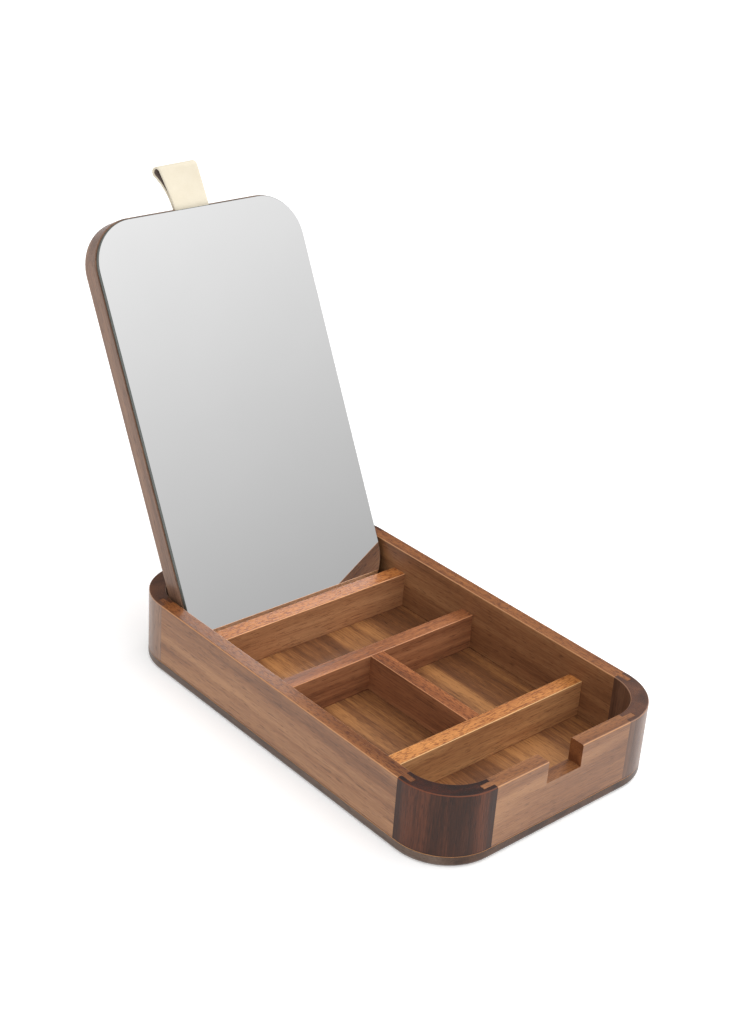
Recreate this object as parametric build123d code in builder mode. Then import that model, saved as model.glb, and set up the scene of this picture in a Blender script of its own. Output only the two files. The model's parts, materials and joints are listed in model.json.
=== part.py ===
"""A shallow wooden jewelry box with a mirrored lid that tips up inside its own rim.

Units are millimetres.  X is the box's width, Y its length with the notched front wall at -Y, and Z
is up.  The origin is the middle of the underside.  The lid is drawn open, leaning on its stop.
"""

import os
from math import atan, cos, degrees, isclose, radians, sin, sqrt

from build123d import *

os.makedirs("parts", exist_ok=True)

# --- Driving dimensions -----------------------------------------------------------------------

# Outer shell
box_length = 240.0
box_width = 148.5
corner_radius = 28.8
inner_corner_radius = 23.2
wall_thickness = 7.8
base_thickness = 6.0
base_edge_round = 2.5
base_seam_chamfer = 0.25
rim_round = 0.6

# Tongue and groove joints between the straight walls and the corner blocks
block_flat = 2.2
tongue_length = 6.0
tongue_thickness = 2.8
groove_side_clearance = 0.05
groove_end_clearance = 0.2

# Dividers and the trays that they make, from the front wall backwards
divider_thickness = 8.4
rear_divider_thickness = 9.0
divider_height = 19.8
divider_top_round = 0.4
divider_housing = 2.5
housing_clearance = 0.1
front_tray_depth = 42.5
middle_tray_depth = 69.4

# Lid: a wooden board with a mirror glued to its inner face
lid_end_gap = 1.0
lid_tail_gap = 1.8
lid_side_gap = 1.5
lid_rest_gap = 0.15
lid_proud = 0.6
lid_corner_radius = 24.5
lid_board_thickness = 11.0
lid_back_round = 1.2
lid_front_round = 0.3
mirror_inset = 0.7
mirror_edge_chamfer = 0.3
glass_thickness = 1.9
silvering_thickness = 0.1
adhesive_thickness = 0.15
adhesive_inset = 3.0

# Pivot: two pins in the side walls, on which the lid tips until its tail meets the rear divider
lid_open_angle = 26.8
lid_back_clearance = 0.05
pin_joint_margin = 0.6
pin_diameter = 3.0
pin_depth_in_wall = 5.5
pin_depth_in_lid = 12.0
pin_radial_clearance = 0.05
pin_end_clearance = 0.2
pin_end_chamfer = 0.3
washer_diameter = 6.5
washer_play = 0.1
stop_gap = 0.25

# Pull strap: a flat leather band folded into a loop at the middle of the lid's free end
strap_width = 21.5
strap_thickness = 1.2
strap_leg_gap = 0.1
strap_anchor_length = 14.0
strap_clearance = 0.05
strap_bend_radius = 22.0
strap_lean = 8.0
strap_loop_run = 18.0
strap_top_radius = 2.6
notch_side_clearance = 0.4
notch_floor_clearance = 1.4

# --- Places that follow from them --------------------------------------------------------------

inner_width = box_width - 2 * wall_thickness
inner_length = box_length - 2 * wall_thickness
wall_line_x = (box_width - wall_thickness) / 2
wall_line_y = (box_length - wall_thickness) / 2
block_reach = corner_radius + block_flat

floor_z = base_thickness
divider_top_z = floor_z + divider_height
mirror_stack = glass_thickness + silvering_thickness + adhesive_thickness
lid_thickness = mirror_stack + lid_board_thickness
closed_mirror_z = divider_top_z + lid_rest_gap
rim_z = closed_mirror_z + lid_thickness - lid_proud
wall_height = rim_z - floor_z

lid_width = inner_width - 2 * lid_side_gap
lid_length = inner_length - lid_end_gap - lid_tail_gap
open_sin = sin(radians(lid_open_angle))
open_cos = cos(radians(lid_open_angle))

# The pins are in the middle of the lid's thickness.  They stand in front of the rear corner joints,
# and far enough forward that the open lid's back clears the corner blocks' curve at the rim.
pivot_z = closed_mirror_z + lid_thickness / 2
back_at_rim = (rim_z - pivot_z) * open_sin / open_cos + lid_thickness / 2 / open_cos
curve_side = inner_corner_radius - lid_side_gap
curve_y = inner_length / 2 - inner_corner_radius + sqrt(inner_corner_radius**2 - curve_side**2)
joint_y = box_length / 2 - block_reach
pivot_y = min(
    joint_y - pin_diameter / 2 - pin_joint_margin,
    curve_y - back_at_rim - lid_back_clearance,
)
tail_length = inner_length / 2 - lid_tail_gap - pivot_y

# The open lid's own plane: the origin is on the pivot line, local Y runs up the lid to its free
# end, and local Z points out of the mirror.
lid_plane = Plane(origin=(0, pivot_y, pivot_z), x_dir=(1, 0, 0), z_dir=(0, -open_cos, open_sin))
lid_normal = Axis((0, pivot_y, pivot_z), (0, -open_cos, open_sin))
lid_middle = lid_length / 2 - tail_length
lid_free_end = lid_length - tail_length
glass_face = lid_thickness / 2
board_face = glass_face - mirror_stack

# The rear divider stands where the mirror's tail edge comes to rest on it.
stop_y = pivot_y - (tail_length - mirror_inset) * open_sin - glass_face * open_cos - stop_gap
rear_divider_y = stop_y - rear_divider_thickness / 2
front_divider_y = -inner_length / 2 + front_tray_depth + divider_thickness / 2
middle_divider_y = front_divider_y + divider_thickness + middle_tray_depth

# Each divider across the box: where its middle is along Y, and its thickness
cross_dividers = {
    "front_divider": (front_divider_y, divider_thickness),
    "middle_divider": (middle_divider_y, divider_thickness),
    "rear_divider": (rear_divider_y, rear_divider_thickness),
}

strap_pocket_depth = 2 * strap_thickness + strap_leg_gap + 2 * strap_clearance
notch_width = strap_width + 2 * notch_side_clearance
notch_floor_z = closed_mirror_z + mirror_stack - notch_floor_clearance


def save(part, name):
    """Label a finished piece and write it under its node name."""
    part.label = name
    export_step(part, f"parts/{name}.step")


# --- Base --------------------------------------------------------------------------------------

with BuildPart() as base_board:
    with BuildSketch(Plane.XY):
        RectangleRounded(box_width, box_length, corner_radius)
    extrude(amount=base_thickness)
    fillet(base_board.faces().sort_by(Axis.Z)[0].edges(), base_edge_round)
    chamfer(base_board.faces().sort_by(Axis.Z)[-1].edges(), base_seam_chamfer)
save(base_board.part, "base_board")

# --- Corner blocks -----------------------------------------------------------------------------


def on_wall_outline(edge):
    """True for an edge that runs along the inner or outer face of the walls."""
    if edge.geom_type == GeomType.CIRCLE:
        return True
    middle = edge.center()
    return any(
        isclose(place, face / 2, abs_tol=0.01)
        for place, faces in (
            (abs(middle.X), (box_width, inner_width)),
            (abs(middle.Y), (box_length, inner_length)),
        )
        for face in faces
    )


def corner_block(side_x, side_y):
    """One quarter-round corner of the wall, with a groove in each end for a panel's tongue."""
    groove_width = tongue_thickness + 2 * groove_side_clearance
    groove_reach = 2 * (tongue_length + groove_end_clearance)
    joint_x = side_x * (box_width / 2 - block_reach)
    joint_y = side_y * (box_length / 2 - block_reach)
    with BuildPart() as block:
        with BuildSketch(Plane.XY.offset(floor_z)):
            RectangleRounded(box_width, box_length, corner_radius)
            RectangleRounded(inner_width, inner_length, inner_corner_radius, mode=Mode.SUBTRACT)
            with Locations((side_x * box_width / 2, side_y * box_length / 2)):
                Rectangle(2 * block_reach, 2 * block_reach, mode=Mode.INTERSECT)
            with Locations((joint_x, side_y * wall_line_y)):
                Rectangle(groove_reach, groove_width, mode=Mode.SUBTRACT)
            with Locations((side_x * wall_line_x, joint_y)):
                Rectangle(groove_width, groove_reach, mode=Mode.SUBTRACT)
        extrude(amount=wall_height)
        fillet(block.edges().group_by(Axis.Z)[-1].filter_by(on_wall_outline), rim_round)
    return block.part


for y_name, side_y in (("front", -1), ("rear", 1)):
    for x_name, side_x in (("left", -1), ("right", 1)):
        save(corner_block(side_x, side_y), f"corner_block_{y_name}_{x_name}")

# --- Straight walls ----------------------------------------------------------------------------


def wall_panel(along, outer_length, outer_face):
    """A straight wall between two corner blocks, with a tongue along each upright end.

    The panel runs along the given direction and its outer face is that far from the box's middle.
    """
    run = outer_length - 2 * block_reach
    with BuildPart() as panel:
        with BuildSketch(Plane(origin=(0, 0, floor_z), x_dir=along, z_dir=(0, 0, 1))):
            with Locations((0, wall_thickness / 2 - outer_face)):
                Rectangle(run, wall_thickness)
                Rectangle(run + 2 * tongue_length, tongue_thickness)
        extrude(amount=wall_height)
        fillet(panel.edges().group_by(Axis.Z)[-1].sort_by(SortBy.LENGTH)[-2:], rim_round)
    return panel.part


def side_panel(side):
    """A long wall, with stopped housings for the dividers and a blind bore for the hinge pin."""
    blank = wall_panel((0, side, 0), box_length, box_width / 2)
    inner_face = side * inner_width / 2
    with BuildPart() as panel:
        add(blank)
        with BuildSketch(Plane.XY.offset(floor_z)):
            for divider_y, thickness in cross_dividers.values():
                with Locations((inner_face, divider_y)):
                    Rectangle(2 * divider_housing, thickness)
        extrude(amount=divider_height, mode=Mode.SUBTRACT)
        with BuildSketch(Plane(origin=(inner_face, pivot_y, pivot_z), z_dir=(side, 0, 0))):
            Circle(pin_diameter / 2)
        extrude(amount=pin_depth_in_wall + pin_end_clearance, mode=Mode.SUBTRACT)
    return panel.part


with BuildPart() as front_panel:
    add(wall_panel((1, 0, 0), box_width, box_length / 2))
    with BuildSketch(Plane.XZ.offset(inner_length / 2 - wall_thickness)):
        with Locations((0, notch_floor_z)):
            Rectangle(notch_width, wall_height, align=(Align.CENTER, Align.MIN))
    extrude(amount=3 * wall_thickness, mode=Mode.SUBTRACT)
save(front_panel.part, "front_panel")

save(wall_panel((-1, 0, 0), box_width, box_length / 2), "back_panel")

for side_name, side in (("left", -1), ("right", 1)):
    save(side_panel(side), f"{side_name}_panel")

# --- Dividers ----------------------------------------------------------------------------------


def cross_divider(divider_y, thickness):
    """A divider across the box, with its ends let into the side walls."""
    span = inner_width + 2 * (divider_housing - housing_clearance)
    with BuildPart() as divider:
        with BuildSketch(Plane.XY.offset(floor_z)):
            with Locations((0, divider_y)):
                Rectangle(span, thickness)
        extrude(amount=divider_height)
        fillet(divider.edges().group_by(Axis.Z)[-1].filter_by(Axis.X), divider_top_round)
    return divider.part


for divider_name, (divider_y, thickness) in cross_dividers.items():
    save(cross_divider(divider_y, thickness), divider_name)

with BuildPart() as centre_divider:
    with BuildSketch(Plane.XY.offset(floor_z)):
        with Locations((0, (front_divider_y + middle_divider_y) / 2)):
            Rectangle(divider_thickness, middle_tray_depth)
    extrude(amount=divider_height)
    fillet(centre_divider.edges().group_by(Axis.Z)[-1].filter_by(Axis.Y), divider_top_round)
save(centre_divider.part, "centre_divider")

# --- Lid board ---------------------------------------------------------------------------------

with BuildPart() as lid_board:
    with BuildSketch(lid_plane.offset(board_face)):
        with Locations((0, lid_middle)):
            RectangleRounded(lid_width, lid_length, lid_corner_radius)
    extrude(amount=-lid_board_thickness)
    fillet(lid_board.faces().sort_by(lid_normal)[0].edges(), lid_back_round)
    fillet(lid_board.faces().sort_by(lid_normal)[-1].edges(), lid_front_round)
    # Pocket for the strap's two legs, open at the free end and closed over by the mirror
    with BuildSketch(lid_plane.offset(board_face)):
        with Locations((0, lid_free_end)):
            Rectangle(strap_width + 2 * strap_clearance, 2 * (strap_anchor_length + strap_clearance))
    extrude(amount=-strap_pocket_depth, mode=Mode.SUBTRACT)
    # Blind bores in the two long edges for the hinge pins
    for side in (-1, 1):
        with BuildSketch(Plane(origin=(side * lid_width / 2, pivot_y, pivot_z), z_dir=(-side, 0, 0))):
            Circle(pin_diameter / 2 + pin_radial_clearance)
        extrude(amount=pin_depth_in_lid + pin_end_clearance, mode=Mode.SUBTRACT)
save(lid_board.part, "lid_board")

# --- Mirror ------------------------------------------------------------------------------------


def mirror_layer(face, thickness, inset):
    """A round-cornered sheet behind the given face of the lid, set in from the board's outline."""
    with BuildPart() as layer:
        with BuildSketch(lid_plane.offset(face)):
            with Locations((0, lid_middle)):
                RectangleRounded(lid_width - 2 * inset, lid_length - 2 * inset, lid_corner_radius - inset)
        extrude(amount=-thickness)
    return layer.part


with BuildPart() as mirror_glass:
    add(mirror_layer(glass_face, glass_thickness, mirror_inset))
    chamfer(mirror_glass.faces().sort_by(lid_normal)[-1].edges(), mirror_edge_chamfer)
save(mirror_glass.part, "mirror_glass")

silvering_face = glass_face - glass_thickness
save(mirror_layer(silvering_face, silvering_thickness, mirror_inset), "mirror_silvering")

adhesive_face = silvering_face - silvering_thickness
save(mirror_layer(adhesive_face, adhesive_thickness, adhesive_inset), "mirror_adhesive")

# --- Pull strap --------------------------------------------------------------------------------

# The band's middle line, in a plane across the lid: local X runs out past the free end and local Y
# from the mirror's face towards the back of the lid is negative.  Both legs lie in the pocket and
# bend backwards together, then the front one runs on, turns over the top and comes back as a teardrop.
strap_plane = Plane(
    origin=lid_plane.from_local_coords((-strap_width / 2, lid_free_end, glass_face)),
    x_dir=(0, open_sin, open_cos),
    z_dir=(1, 0, 0),
)
leg_pitch = strap_thickness + strap_leg_gap
# The top turns just so far that a single arc runs on from it into the rear leg's bend.
top_turn = 180 + 2 * degrees(atan((2 * strap_top_radius - leg_pitch) / strap_loop_run))
front_leg = -(mirror_stack + strap_clearance + strap_thickness / 2)
rear_leg = front_leg - leg_pitch

with BuildPart() as pull_strap:
    with BuildSketch(strap_plane):
        with BuildLine():
            front = Line((-strap_anchor_length, front_leg), (0, front_leg))
            front_bend = JernArc(front @ 1, front % 1, strap_bend_radius, -strap_lean)
            front_run = Line(front_bend @ 1, front_bend @ 1 + strap_loop_run * (front_bend % 1))
            top = JernArc(front_run @ 1, front_run % 1, strap_top_radius, -top_turn)
            rear = Line((-strap_anchor_length, rear_leg), (0, rear_leg))
            rear_bend = JernArc(rear @ 1, rear % 1, strap_bend_radius - leg_pitch, -strap_lean)
            TangentArc(rear_bend @ 1, top @ 1, tangent=rear_bend % 1)
        trace(line_width=strap_thickness)
    extrude(amount=strap_width)
save(pull_strap.part, "pull_strap")

# --- Hinge pins and spacer washers -------------------------------------------------------------

pin_length = pin_depth_in_wall + lid_side_gap + pin_depth_in_lid
washer_thickness = lid_side_gap - 2 * washer_play


def across(side, x):
    """A plane square to the pivot line at that X, facing out through the named side."""
    return Plane(origin=(x, pivot_y, pivot_z), z_dir=(side, 0, 0))


for side_name, side in (("left", -1), ("right", 1)):
    pin_outer_end = side * (inner_width / 2 + pin_depth_in_wall)
    with BuildPart() as hinge_pin:
        with BuildSketch(across(side, pin_outer_end)):
            Circle(pin_diameter / 2)
        extrude(amount=-pin_length)
        chamfer(hinge_pin.faces().sort_by(Axis.X)[0].edges(), pin_end_chamfer)
        chamfer(hinge_pin.faces().sort_by(Axis.X)[-1].edges(), pin_end_chamfer)
    save(hinge_pin.part, f"hinge_pin_{side_name}")

    with BuildPart() as spacer_washer:
        with BuildSketch(across(side, side * (inner_width / 2 - washer_play))):
            Circle(washer_diameter / 2)
            Circle(pin_diameter / 2 + pin_radial_clearance, mode=Mode.SUBTRACT)
        extrude(amount=-washer_thickness)
    save(spacer_washer.part, f"spacer_washer_{side_name}")
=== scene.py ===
"""Looks and studio for the shallow wooden jewelry box with a tip-up mirror lid.

Everything is in metres in the CAD frame: X is the width, Y the length with the notched front wall at
-Y, Z is up.  The CAD solids keep their shapes and get wood, mirror and metal materials; the leather
pull strap is built here and stands for its CAD solid.
"""

import json
from math import atan2, cos, pi, radians, sin

import bmesh
import bpy
from mathutils import Matrix, Quaternion, Vector


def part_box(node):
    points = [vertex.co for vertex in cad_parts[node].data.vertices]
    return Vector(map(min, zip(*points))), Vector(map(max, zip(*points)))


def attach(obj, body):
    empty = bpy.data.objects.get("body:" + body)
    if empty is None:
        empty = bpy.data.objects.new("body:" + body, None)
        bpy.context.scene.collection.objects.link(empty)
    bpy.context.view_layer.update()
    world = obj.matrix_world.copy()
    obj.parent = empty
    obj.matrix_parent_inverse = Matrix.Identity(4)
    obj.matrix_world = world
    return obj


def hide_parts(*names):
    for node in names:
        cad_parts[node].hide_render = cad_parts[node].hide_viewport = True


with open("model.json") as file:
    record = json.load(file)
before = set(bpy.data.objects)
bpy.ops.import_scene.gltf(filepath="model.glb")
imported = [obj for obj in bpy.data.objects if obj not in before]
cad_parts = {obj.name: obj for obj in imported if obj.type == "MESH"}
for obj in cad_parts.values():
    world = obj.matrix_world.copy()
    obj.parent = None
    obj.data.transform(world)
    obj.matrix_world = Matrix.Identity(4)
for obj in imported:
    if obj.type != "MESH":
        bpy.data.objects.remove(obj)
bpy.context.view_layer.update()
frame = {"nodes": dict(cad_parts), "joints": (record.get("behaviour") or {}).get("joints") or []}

MM = 0.001

nodes = frame["nodes"]

# --- The lid's own directions, from the hinge ---------------------------------------------------

hinge = next(joint for joint in frame["joints"] if joint["name"] == "lid_hinge")
pivot = Vector(hinge["pos_m"])
lean = radians(hinge["range_deg"][1] - 90)  # how far past upright the open lid leans
up_lid = Vector((0, sin(lean), cos(lean)))
out_of_mirror = Vector((0, -cos(lean), sin(lean)))


def on_lid(x, along, out):
    """The point on the open lid at that x, that far up it from the pivot and out of the mirror."""
    return Vector((x, pivot.y, pivot.z)) + along * up_lid + out * out_of_mirror


# --- Node helpers -------------------------------------------------------------------------------


def add(tree, kind, inputs, **settings):
    """A new shader node with these settings; an input is a value or the socket that feeds it."""
    node = tree.nodes.new("ShaderNode" + kind)
    for key, value in settings.items():
        setattr(node, key, value)
    for key, value in inputs.items():
        if isinstance(value, bpy.types.NodeSocket):
            tree.links.new(value, node.inputs[key])
        else:
            node.inputs[key].default_value = value
    return node


def calculate(tree, operation, *values):
    """The result of one Math node."""
    return add(tree, "Math", dict(enumerate(values)), operation=operation).outputs[0]


def mix(tree, factor, first, second, blend="MIX"):
    """The colour between two colours."""
    inputs = {0: factor, 6: first, 7: second}
    return add(tree, "Mix", inputs, data_type="RGBA", blend_type=blend).outputs[2]


def ramp(tree, factor, stops):
    """A colour ramp through (place, colour) stops."""
    node = add(tree, "ValToRGB", {"Fac": factor})
    elements = node.color_ramp.elements
    while len(elements) < len(stops):
        elements.new(1.0)
    for element, (place, shade) in zip(elements, stops):
        element.position = place
        element.color = shade
    return node.outputs["Color"]


def step_up(tree, value, low, high):
    """0 below low, 1 above high and smooth between them."""
    inputs = {"Value": value, "From Min": low, "From Max": high}
    return add(tree, "MapRange", inputs, interpolation_type="SMOOTHSTEP").outputs["Result"]


def colour(red, green, blue):
    """A colour given on the usual 0 to 255 display scale, as Blender's linear values."""
    def linear(value):
        value /= 255
        return value / 12.92 if value <= 0.04045 else ((value + 0.055) / 1.055) ** 2.4

    return (linear(red), linear(green), linear(blue), 1.0)


def grey(value):
    """A grey of that linear brightness."""
    return (value, value, value, 1.0)


def new_material(name):
    """A material whose node tree is empty, and that tree."""
    material = bpy.data.materials.new(name)
    material.use_nodes = True
    material.node_tree.nodes.clear()
    return material, material.node_tree


def finish_material(tree, shader):
    """Links the shader to a new output."""
    add(tree, "OutputMaterial", {"Surface": shader.outputs[0]})


def dress(node, material):
    """Gives a CAD node that one material."""
    for slot in nodes[node].material_slots:
        slot.material = material


# --- Wood ---------------------------------------------------------------------------------------

# Light, middle and dark wood of each tone
TONES = {
    "tan": (colour(166, 120, 82), colour(138, 94, 62), colour(106, 68, 44)),
    "amber": (colour(206, 154, 111), colour(176, 125, 87), colour(126, 84, 57)),
    "honey": (colour(222, 169, 117), colour(186, 133, 90), colour(130, 86, 57)),
    "russet": (colour(184, 129, 91), colour(150, 99, 68), colour(102, 65, 45)),
    "umber": (colour(98, 54, 35), colour(61, 33, 21), colour(33, 19, 13)),
    "taupe": (colour(134, 99, 77), colour(104, 73, 56), colour(72, 49, 39)),
    "sand": (colour(150, 116, 93), colour(122, 91, 72), colour(88, 64, 51)),
    "floor": (colour(172, 120, 72), colour(120, 78, 48), colour(80, 50, 33)),
    # The base board's edge: darker and greyer, as painted shade and a painted reflection of the pale
    # floor
    "edge": (colour(112, 92, 78), colour(86, 68, 57), colour(62, 48, 41)),
}

# Each wooden node's tone, the axis that its grain follows, how much varnish it carries, and how much
# painted shade darkens and warms its upper faces
BOARDS = {
    "base_board": ("floor", "Y", 0.15, 0.0),
    "front_panel": ("tan", "X", 0.30, 0.6),
    "back_panel": ("tan", "X", 0.30, 0.9),
    "left_panel": ("tan", "Y", 0.30, 0.9),
    "right_panel": ("tan", "Y", 0.30, 0.9),
    "corner_block_front_left": ("umber", "Z", 0.0, 0.4),
    "corner_block_front_right": ("taupe", "Z", 0.30, 0.3),
    "corner_block_rear_left": ("sand", "Z", 0.40, 0.5),
    "corner_block_rear_right": ("taupe", "Z", 0.30, 0.9),
    "front_divider": ("honey", "X", 0.10, 0.9),
    "middle_divider": ("russet", "X", 0.10, 0.6),
    "rear_divider": ("amber", "X", 0.10, 1.0),
    "centre_divider": ("russet", "Y", 0.10, 0.9),
    "lid_board": ("sand", "Z", 0.30, 0.0),
}

# What the wood's colour is multiplied by: on end grain, and on upper faces between specks and on
# them, where it is painted shade
END_GRAIN = colour(206, 178, 156)
PAINTED_TOP_SHADE = colour(242, 212, 164)
PAINTED_TOP_SHADE_SPECK = colour(182, 142, 98)

RINGS = 17  # how often the growth rings' tone swings across the swirl's whole range
GRAIN_OFFSET = -0.20  # brings the sum of the grain's layers back to the ramp's middle
PORE_DARKENING = 0.45
SEAM_DARKENING = 0.55
SEAM_HEIGHT = 0.8 * MM
EDGE_HIGHLIGHT = 0.75  # how strongly the rounded edges beside upper faces carry a painted highlight
EDGE_HIGHLIGHT_GAIN = 1.6  # how much lighter than the light wood the painted edge highlight is
SEED_SHIFT = (0.37, 0.53, 0.29)  # how far apart two seeds are in the noises, in metres

floor_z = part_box("base_board")[1][2]  # the trays' floor, on which every other board stands


def height_of(tree, spot):
    """How far a spot is above the ground."""
    return add(tree, "SeparateXYZ", {"Vector": spot}).outputs["Z"]


def own_normal(tree):
    """The surface's direction in the object's own axes, which keeps with it as it moves."""
    normal = add(tree, "NewGeometry", {}).outputs["Normal"]
    return add(tree, "VectorTransform", {"Vector": normal}, vector_type="NORMAL",
               convert_from="WORLD", convert_to="OBJECT").outputs[0]


def end_grain(tree, grain, turn):
    """1 on faces that cut across the grain, 0 on those that run with it."""
    axis = Matrix.Rotation(-turn, 3, "X") @ Vector([float(name == grain) for name in "XYZ"])
    facing = add(tree, "VectorMath", {0: own_normal(tree), 1: axis}, operation="DOT_PRODUCT")
    return step_up(tree, calculate(tree, "ABSOLUTE", facing.outputs["Value"]), 0.6, 0.95)


def upper_face(tree):
    """Two masks: 1 on a piece's upper face, and 1 on the rounded edges beside it."""
    rise = add(tree, "SeparateXYZ", {"Vector": own_normal(tree)}).outputs["Z"]
    top = step_up(tree, rise, 0.85, 0.98)
    beside = calculate(tree, "SUBTRACT", 1.0, top)
    return top, calculate(tree, "MULTIPLY", step_up(tree, rise, 0.1, 0.4), beside)


def grain_noise(tree, place, grain, squeeze, scale, detail, distortion=0.0):
    """Noise drawn out along the grain by the squeeze of its coordinates that way."""
    scales = tuple(squeeze if axis == grain else 1.0 for axis in "XYZ")
    along = add(tree, "Mapping", {"Vector": place, "Scale": scales}).outputs[0]
    inputs = {"Vector": along, "Scale": scale, "Detail": detail, "Distortion": distortion}
    return add(tree, "TexNoise", inputs).outputs["Fac"]


def grain_layers(tree, place, grain):
    """How light the wood is from its figure, rings, fibres, flecks and clouds; and the fibres alone."""
    figure = grain_noise(tree, place, grain, squeeze=0.06, scale=95, detail=6, distortion=0.7)
    swirl = grain_noise(tree, place, grain, squeeze=0.07, scale=20, detail=2, distortion=0.4)
    rings = calculate(tree, "PINGPONG", calculate(tree, "MULTIPLY", swirl, RINGS), 1.0)
    fibre = grain_noise(tree, place, grain, squeeze=0.035, scale=1300, detail=3)
    fleck = grain_noise(tree, place, grain, squeeze=0.10, scale=2200, detail=2)
    cloud = grain_noise(tree, place, grain, squeeze=0.5, scale=14, detail=2)
    blend = GRAIN_OFFSET
    for layer, share in ((figure, 0.58), (rings, 0.14), (fibre, 0.34), (fleck, 0.20), (cloud, 0.20)):
        blend = calculate(tree, "MULTIPLY_ADD", layer, share, blend)
    return blend, fibre


def wood_ramp(tree, blend, tone):
    """The tone's dark, middle and light wood, by how light the grain is."""
    light, middle, dark = TONES[tone]
    return ramp(tree, blend, [(0.32, dark), (0.50, middle), (0.70, light)])


def base_board_tint(tree, blend, tone, spot):
    """The tray floors' wood on the base board's upper face, and below it the grain in a darker, greyer
    tone: painted shade and a painted reflection of the pale floor on its edge.
    """
    on_top = step_up(tree, height_of(tree, spot), floor_z - 0.5 * MM, floor_z - 0.2 * MM)
    return mix(tree, on_top, wood_ramp(tree, blend, "edge"), wood_ramp(tree, blend, tone))


def seamed_tint(tree, blend, tone, spot):
    """The tone's wood, with a fine dark line where the piece meets the base board."""
    height = calculate(tree, "SUBTRACT", height_of(tree, spot), floor_z)
    seam = calculate(tree, "SUBTRACT", 1.0, step_up(tree, height, 0.0, SEAM_HEIGHT))
    darkening = calculate(tree, "MULTIPLY", seam, SEAM_DARKENING)
    return mix(tree, darkening, wood_ramp(tree, blend, tone), TONES[tone][2], "MULTIPLY")


def painted_top_light(tree, tint, light, painted_top_shade, speckle):
    """The tint with painted shade that warms and darkens upper faces, speckled with the grain, and a
    painted highlight on their rounded edges.
    """
    top, edge = upper_face(tree)
    # Painted shade: upper faces are multiplied by a warm, darker tint, with specks of the grain
    speckled = mix(tree, step_up(tree, speckle, 0.50, 0.62), PAINTED_TOP_SHADE, PAINTED_TOP_SHADE_SPECK)
    tint = mix(tree, calculate(tree, "MULTIPLY", top, painted_top_shade), tint, speckled, "MULTIPLY")
    # A painted highlight: the rounded edges beside upper faces are lightened towards pale wood
    painted_highlight = tuple(min(1.0, EDGE_HIGHLIGHT_GAIN * value) for value in light)
    return mix(tree, calculate(tree, "MULTIPLY", edge, EDGE_HIGHLIGHT), tint, painted_highlight)


def wood(name, tone, grain, varnish, painted_top_shade, seed):
    """Varnished wood: a streaky figure, growth rings, fibres and open pores, all long in the grain.

    End grain is darker; painted shade warms and darkens the upper faces, which are speckled with the
    grain; a painted highlight lightens their rounded edges; and a fine dark line runs where the piece
    meets the base board.
    """
    light, _, dark = TONES[tone]
    material, tree = new_material(name)
    spot = add(tree, "TexCoord", {}).outputs["Object"]
    turn = lean if name == "lid_board" else 0.0  # the lid's grain runs up the leaning lid
    shift = tuple(step * seed for step in SEED_SHIFT)
    mapping = {"Vector": spot, "Location": shift, "Rotation": (turn, 0, 0)}
    place = add(tree, "Mapping", mapping).outputs[0]
    blend, fibre = grain_layers(tree, place, grain)
    pores = grain_noise(tree, place, grain, squeeze=0.08, scale=2000, detail=1)
    pores = step_up(tree, pores, 0.60, 0.70)

    if name == "base_board":
        tint = base_board_tint(tree, blend, tone, spot)
    else:
        tint = seamed_tint(tree, blend, tone, spot)
    tint = mix(tree, calculate(tree, "MULTIPLY", pores, PORE_DARKENING), tint, dark, "MULTIPLY")
    tint = mix(tree, end_grain(tree, grain, turn), tint, END_GRAIN, "MULTIPLY")
    # Painted shade on upper faces and a painted highlight on their edges; the lid has neither
    if name != "lid_board":
        speckle = grain_noise(tree, place, grain, squeeze=0.25, scale=1500, detail=2)
        tint = painted_top_light(tree, tint, light, painted_top_shade, speckle)

    relief = calculate(tree, "MULTIPLY_ADD", pores, -0.8, fibre)
    bump = add(tree, "Bump", {"Height": relief, "Strength": 0.35, "Distance": 0.15 * MM})
    inputs = {
        "Base Color": tint,
        "Roughness": calculate(tree, "MULTIPLY_ADD", fibre, 0.22, 0.30),
        "Normal": bump.outputs[0],
        "IOR": 1.35,
        "Coat Weight": varnish,
        "Coat Roughness": 0.2,
        "Coat IOR": 1.4,
    }
    finish_material(tree, add(tree, "BsdfPrincipled", inputs))
    return material


for seed, (node, (tone, grain, varnish, painted_top_shade)) in enumerate(BOARDS.items()):
    dress(node, wood(node, tone, grain, varnish, painted_top_shade, seed))

# --- Mirror -------------------------------------------------------------------------------------


def mirror():
    """Silvered glass: it reflects on the face, and is dull grey glass on its ground edge."""
    material, tree = new_material("mirror_glass")
    facing = add(tree, "VectorMath", {0: own_normal(tree), 1: out_of_mirror}, operation="DOT_PRODUCT")
    face = step_up(tree, facing.outputs["Value"], 0.80, 0.95)
    place = add(tree, "TexCoord", {}).outputs["Object"]
    haze = add(tree, "TexNoise", {"Vector": place, "Scale": 30, "Detail": 4}).outputs["Fac"]
    tint = mix(tree, haze, grey(0.90), grey(0.93))
    tint = mix(tree, face, colour(88, 92, 88), tint)
    rough = calculate(tree, "MULTIPLY", haze, 0.02)
    rough = calculate(tree, "MULTIPLY_ADD", calculate(tree, "SUBTRACT", 1.0, face), 0.30, rough)
    inputs = {"Base Color": tint, "Metallic": face, "Roughness": rough}
    finish_material(tree, add(tree, "BsdfPrincipled", inputs))
    return material


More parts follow.
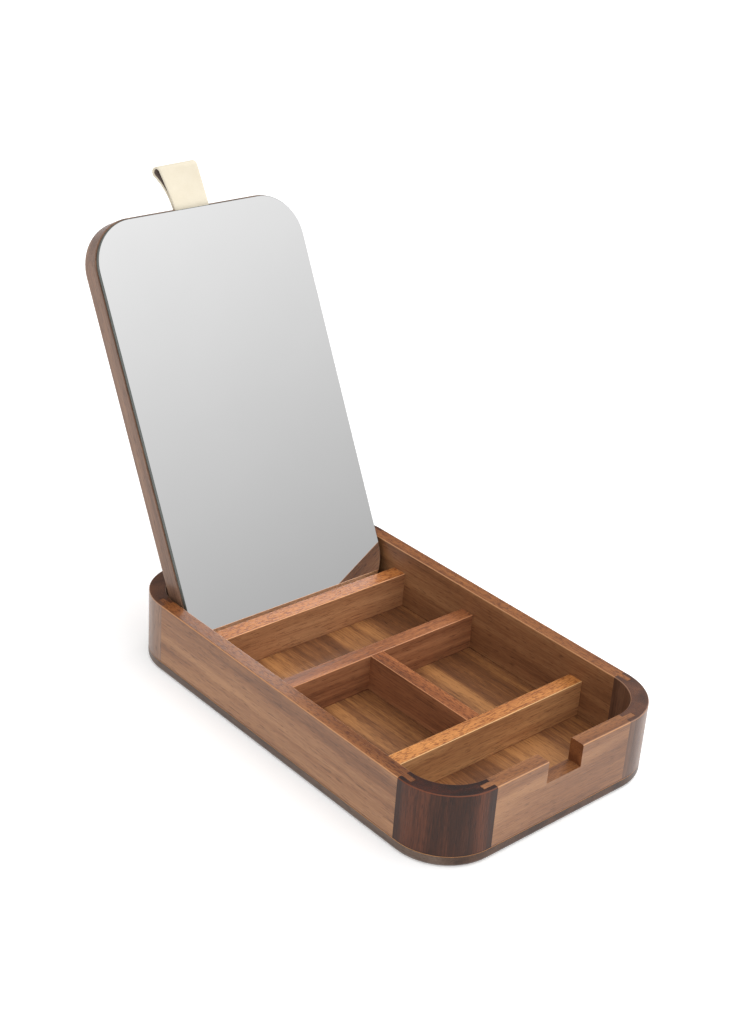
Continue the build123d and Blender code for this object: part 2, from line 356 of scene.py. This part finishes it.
def hidden_layer(name, first, second, metallic, roughness, scale):
    """A layer behind the glass, mottled between two colours."""
    material, tree = new_material(name)
    place = add(tree, "TexCoord", {}).outputs["Object"]
    mottle = add(tree, "TexNoise", {"Vector": place, "Scale": scale, "Detail": 4}).outputs["Fac"]
    bump = add(tree, "Bump", {"Height": mottle, "Strength": 0.2, "Distance": 0.05 * MM})
    inputs = {
        "Base Color": mix(tree, mottle, first, second),
        "Metallic": metallic,
        "Roughness": roughness,
        "Normal": bump.outputs[0],
    }
    finish_material(tree, add(tree, "BsdfPrincipled", inputs))
    return material


dress("mirror_glass", mirror())
dress("mirror_silvering", hidden_layer(
    "mirror_silvering", colour(205, 207, 210), colour(225, 227, 230),
    metallic=1.0, roughness=0.15, scale=60))
dress("mirror_adhesive", hidden_layer(
    "mirror_adhesive", colour(196, 186, 160), colour(170, 158, 130),
    metallic=0.0, roughness=0.6, scale=120))

# --- Hinge hardware -----------------------------------------------------------------------------


def turned_metal(name, first, second, roughness):
    """Metal turned round the pivot line, with fine rings about it."""
    material, tree = new_material(name)
    place = add(tree, "TexCoord", {}).outputs["Object"]
    rings = add(tree, "Mapping", {"Vector": place, "Scale": (1, 0.05, 0.05)}).outputs[0]
    turning = add(tree, "TexNoise", {"Vector": rings, "Scale": 4000, "Detail": 3}).outputs["Fac"]
    bump = add(tree, "Bump", {"Height": turning, "Strength": 0.2, "Distance": 0.02 * MM})
    inputs = {
        "Base Color": mix(tree, turning, first, second),
        "Metallic": 1.0,
        "Roughness": calculate(tree, "MULTIPLY_ADD", turning, 0.15, roughness),
        "Normal": bump.outputs[0],
    }
    finish_material(tree, add(tree, "BsdfPrincipled", inputs))
    return material


rod = turned_metal("hinge_pin", colour(214, 178, 104), colour(184, 146, 80), roughness=0.22)
washer = turned_metal("spacer_washer", colour(206, 170, 98), colour(170, 132, 70), roughness=0.28)
for side in ("left", "right"):
    dress(f"hinge_pin_{side}", rod)
    dress(f"spacer_washer_{side}", washer)

# --- Pull strap ---------------------------------------------------------------------------------

STRAP_WIDTH = 21.5 * MM
STRAP_THICKNESS = 1.2 * MM
STRAP_GRIP = 13.5 * MM  # how much of each leg lies in the lid
STRAP_CLEARANCE = 0.05 * MM  # how far the front leg lies below the lid board's face
LEG_GAP = 0.1 * MM
LEG_PITCH = STRAP_THICKNESS + LEG_GAP
STRAP_BEND = 22 * MM  # radius on which the front leg bends back as it leaves the lid
STRAP_LEAN = radians(8)  # how far it bends
LOOP_RUN = 18.0 * MM  # the straight stretch from the bend to the loop's top
LOOP_TOP = 2.6 * MM  # radius of the loop's top
STRAP_TWIST = radians(12)  # how far the loop's top is turned, its left side back
TWIST_POWER = 1.5  # how late up the loop the twist comes in
STATION = 0.45 * MM  # spacing of the rows along the band
ROWS_ACROSS = 12  # faces across each side of the band
EDGE_STEPS = 5  # faces round each of its edges


def leather(name, light, dark, bump_depth, roughness, sheen):
    """Leather with a pebbled grain, soft blotches and a few long creases across the band."""
    material, tree = new_material(name)
    place = add(tree, "TexCoord", {}).outputs["Object"]
    pebble = add(tree, "TexVoronoi", {"Vector": place, "Scale": 1900, "Randomness": 1.0},
                 feature="SMOOTH_F1").outputs["Distance"]
    blotch = add(tree, "TexNoise", {"Vector": place, "Scale": 140, "Detail": 4}).outputs["Fac"]
    crease = add(tree, "Mapping", {"Vector": place, "Scale": (0.08, 1, 1)}).outputs[0]
    crease = add(tree, "TexNoise", {"Vector": crease, "Scale": 700, "Detail": 2}).outputs["Fac"]
    blend = calculate(tree, "MULTIPLY_ADD", pebble, 0.35, calculate(tree, "MULTIPLY", blotch, 0.7))
    height = calculate(tree, "MULTIPLY_ADD", crease, 0.8, pebble)
    bump = add(tree, "Bump", {"Height": height, "Strength": 0.5, "Distance": bump_depth})
    inputs = {
        "Base Color": mix(tree, blend, light, dark),
        "Roughness": calculate(tree, "MULTIPLY_ADD", blotch, 0.15, roughness),
        "Sheen Weight": sheen,
        "Normal": bump.outputs[0],
    }
    finish_material(tree, add(tree, "BsdfPrincipled", inputs))
    return material


def walk(point, heading, runs):
    """Points and headings along runs of (length, turn), in the (along the lid, out of mirror) plane."""
    stations = [(point, heading)]
    for length, turn in runs:
        count = max(1, round(length / STATION))
        for _ in range(count):
            heading += turn / count / 2
            point = point + length / count * Vector((cos(heading), sin(heading)))
            heading += turn / count / 2
            stations.append((point, heading))
    return stations


def strap_line(free_end, front_out):
    """The band's middle line: up the front leg, over the top and down the rear leg."""
    top_turn = pi + 2 * atan2(2 * LOOP_TOP - LEG_PITCH, LOOP_RUN)
    front = walk(Vector((free_end - STRAP_GRIP, front_out)), 0.0, [
        (STRAP_GRIP, 0.0),
        (STRAP_BEND * STRAP_LEAN, -STRAP_LEAN),
        (LOOP_RUN, 0.0),
        (LOOP_TOP * top_turn, -top_turn),
    ])
    rear = walk(Vector((free_end - STRAP_GRIP, front_out - LEG_PITCH)), 0.0, [
        (STRAP_GRIP, 0.0),
        ((STRAP_BEND - LEG_PITCH) * STRAP_LEAN, -STRAP_LEAN),
    ])
    # The rear leg's last stretch is the arc that joins its bend to the end of the top.
    start, heading = rear[-1]
    chord = front[-1][0] - start
    swing = 2 * (atan2(chord.y, chord.x) - heading)
    length = chord.length * (swing / 2) / sin(swing / 2)
    rear += walk(start, heading, [(length, swing)])[1:]
    return front + [(point, heading + pi) for point, heading in reversed(rear[:-1])]


def strap_section():
    """The band's section, a flat bar with round edges, as points (across, through, side).

    The side is 1 on its front, -1 on its rear and 0 round its edges.
    """
    half_thickness = STRAP_THICKNESS / 2
    flat = STRAP_WIDTH / 2 - half_thickness
    section = []
    for side in (1, -1):
        for step in range(ROWS_ACROSS + 1):
            across = side * (flat - 2 * flat * step / ROWS_ACROSS)
            section.append((across, side * half_thickness, side))
        for step in range(1, EDGE_STEPS):
            angle = pi * step / EDGE_STEPS
            across = -side * (flat + half_thickness * sin(angle))
            section.append((across, side * half_thickness * cos(angle), 0))
    return section


def strap_row(section, point, heading, free_end, rise, middle_out):
    """The section's points at one station; the twist sets its left side back and its rear to the left."""
    normal = Vector((-sin(heading), cos(heading)))
    row = []
    for across, through, _ in section:
        spot = point + through * normal
        twist = STRAP_TWIST * max(0.0, (spot.x - free_end) / rise) ** TWIST_POWER
        out = spot.y - middle_out
        turned_x = across * cos(twist) + out * sin(twist)
        turned_out = out * cos(twist) + across * sin(twist)
        row.append(on_lid(turned_x, spot.x, middle_out + turned_out))
    return row


def strap_mesh(name, stations, free_end, middle_out):
    """The band swept along its line; its rear side has the second material."""
    section = strap_section()
    rise = max(point.x for point, _ in stations) - free_end
    shape = bmesh.new()
    rows = []
    for point, heading in stations:
        row = strap_row(section, point, heading, free_end, rise, middle_out)
        rows.append([shape.verts.new(spot) for spot in row])
    for first, second in zip(rows, rows[1:]):
        for index in range(len(section)):
            following = (index + 1) % len(section)
            face = shape.faces.new((first[index], first[following], second[following], second[index]))
            on_rear = section[index][2] == section[following][2] == -1
            face.material_index = 1 if on_rear else 0
            face.smooth = True
    shape.faces.new(rows[0][::-1])
    shape.faces.new(rows[-1])
    bmesh.ops.recalc_face_normals(shape, faces=shape.faces)
    mesh = bpy.data.meshes.new(name)
    shape.to_mesh(mesh)
    shape.free()
    strap = bpy.data.objects.new(name, mesh)
    bpy.context.scene.collection.objects.link(strap)
    return strap


def along_and_out(point):
    """How far up the lid and out of the mirror a point of the frame is, from the pivot."""
    offset = Vector(point) - pivot
    return offset.dot(up_lid), offset.dot(out_of_mirror)


def lid_reach():
    """The lid board's free end along the lid, and its face's height out of the mirror."""
    spots = [along_and_out(vertex.co) for vertex in nodes["lid_board"].data.vertices]
    return max(along for along, _ in spots), max(out for _, out in spots)


free_end, board_face = lid_reach()
front_out = board_face - STRAP_CLEARANCE - STRAP_THICKNESS / 2
strap_stations = strap_line(free_end, front_out)
pull_strap = strap_mesh("pull_strap_leather", strap_stations, free_end, front_out - LEG_PITCH / 2)
pull_strap.data.materials.append(leather(
    "strap_cream", colour(228, 219, 199), colour(216, 205, 181),
    bump_depth=0.06 * MM, roughness=0.5, sheen=0.1))
# The band's rear side: a darker taupe, rougher leather than its front
pull_strap.data.materials.append(leather(
    "strap_rear_side", colour(128, 112, 104), colour(96, 82, 76),
    bump_depth=0.10 * MM, roughness=0.75, sheen=0.1))
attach(pull_strap, "lid")
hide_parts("pull_strap")

# --- Studio -------------------------------------------------------------------------------------

FLOOR_GLOW = 0.32  # keeps the floor near white

# The sky's brightness by height, from the horizon at 0 to straight up at 1
SKY = ((0.0, 0.60), (0.08, 0.42), (0.22, 0.225), (0.44, 0.43), (0.85, 0.85))
SKY_STRENGTH = 2.0
REAR_DIMMING = 0.7  # how much darker the sky is behind the box, above the horizon


def floor_material():
    """Pale matt paper with a faint tooth and a faint glow of its own."""
    material, tree = new_material("studio_floor")
    place = add(tree, "TexCoord", {}).outputs["Object"]
    tooth = add(tree, "TexNoise", {"Vector": place, "Scale": 400, "Detail": 3}).outputs["Fac"]
    bump = add(tree, "Bump", {"Height": tooth, "Strength": 0.1, "Distance": 0.05 * MM})
    inputs = {
        "Base Color": mix(tree, tooth, grey(0.88), grey(0.92)),
        "Roughness": 0.6,
        "Specular IOR Level": 0.2,
        "Emission Color": grey(1.0),
        "Emission Strength": FLOOR_GLOW,
        "Normal": bump.outputs[0],
    }
    finish_material(tree, add(tree, "BsdfPrincipled", inputs))
    return material


def studio_floor(half_side):
    """A flat square floor under the box."""
    mesh = bpy.data.meshes.new("studio_floor")
    corners = [(x * half_side, y * half_side, 0) for x, y in ((-1, -1), (1, -1), (1, 1), (-1, 1))]
    mesh.from_pydata(corners, [], [(0, 1, 2, 3)])
    floor = bpy.data.objects.new("studio_floor", mesh)
    floor.data.materials.append(floor_material())
    bpy.context.scene.collection.objects.link(floor)


def direction_at(azimuth, elevation):
    """The direction from the box at those degrees; azimuth 0 is its front and 90 its right."""
    turn, rise = radians(azimuth), radians(elevation)
    return Vector((sin(turn) * cos(rise), -cos(turn) * cos(rise), sin(rise)))


def soft_light(name, size, power, azimuth, elevation, distance):
    """A square soft light that faces the box."""
    light = bpy.data.lights.new(name, "AREA")
    light.shape = "SQUARE"
    light.size = size
    light.energy = power
    lamp = bpy.data.objects.new(name, light)
    back = direction_at(azimuth, elevation)
    lamp.location = distance * back
    lamp.rotation_mode = "QUATERNION"
    lamp.rotation_quaternion = back.to_track_quat("Z", "Y")
    bpy.context.scene.collection.objects.link(lamp)


def studio_sky():
    """A pale sky with a grey band low down; the mirror shows the rise above the band as its gradient."""
    world = bpy.data.worlds.new("studio_sky")
    world.use_nodes = True
    tree = world.node_tree
    tree.nodes.clear()
    direction = add(tree, "TexCoord", {}).outputs["Generated"]
    parts = add(tree, "SeparateXYZ", {"Vector": direction})
    front = ramp(tree, parts.outputs["Z"], [(height, grey(value)) for height, value in SKY])
    behind = step_up(tree, parts.outputs["Y"], 0.0, 0.6)
    above = step_up(tree, parts.outputs["Z"], 0.0, 0.3)
    rear = calculate(tree, "MULTIPLY", behind, above)
    shade = mix(tree, calculate(tree, "MULTIPLY", rear, REAR_DIMMING), front, grey(0.0))
    sky = add(tree, "Background", {"Color": shade, "Strength": SKY_STRENGTH})
    add(tree, "OutputWorld", {"Surface": sky.outputs[0]})
    bpy.context.scene.world = world


def photo_camera(aim, distance, azimuth, elevation, roll, lens):
    """A camera that looks at the aim from that azimuth and elevation, rolled about its own axis."""
    camera = bpy.data.cameras.new("camera")
    camera.lens = lens
    camera.clip_start = 0.05
    camera.clip_end = 50
    eye = bpy.data.objects.new("camera", camera)
    back = direction_at(azimuth, elevation)
    eye.location = aim + distance * back
    eye.rotation_mode = "QUATERNION"
    eye.rotation_quaternion = Quaternion(back, roll) @ back.to_track_quat("Z", "Y")
    bpy.context.scene.collection.objects.link(eye)
    bpy.context.scene.camera = eye


studio_floor(half_side=6.0)
studio_sky()
soft_light("key_light", size=0.8, power=8.0, azimuth=95, elevation=45, distance=1.6)
photo_camera(
    aim=Vector((0.0180, 0.0424, 0.0854)),
    distance=0.8725,
    azimuth=-42.77,
    elevation=26.9,
    roll=radians(4.24),
    lens=60.94,
)
bpy.context.scene.view_settings.view_transform = "Standard"
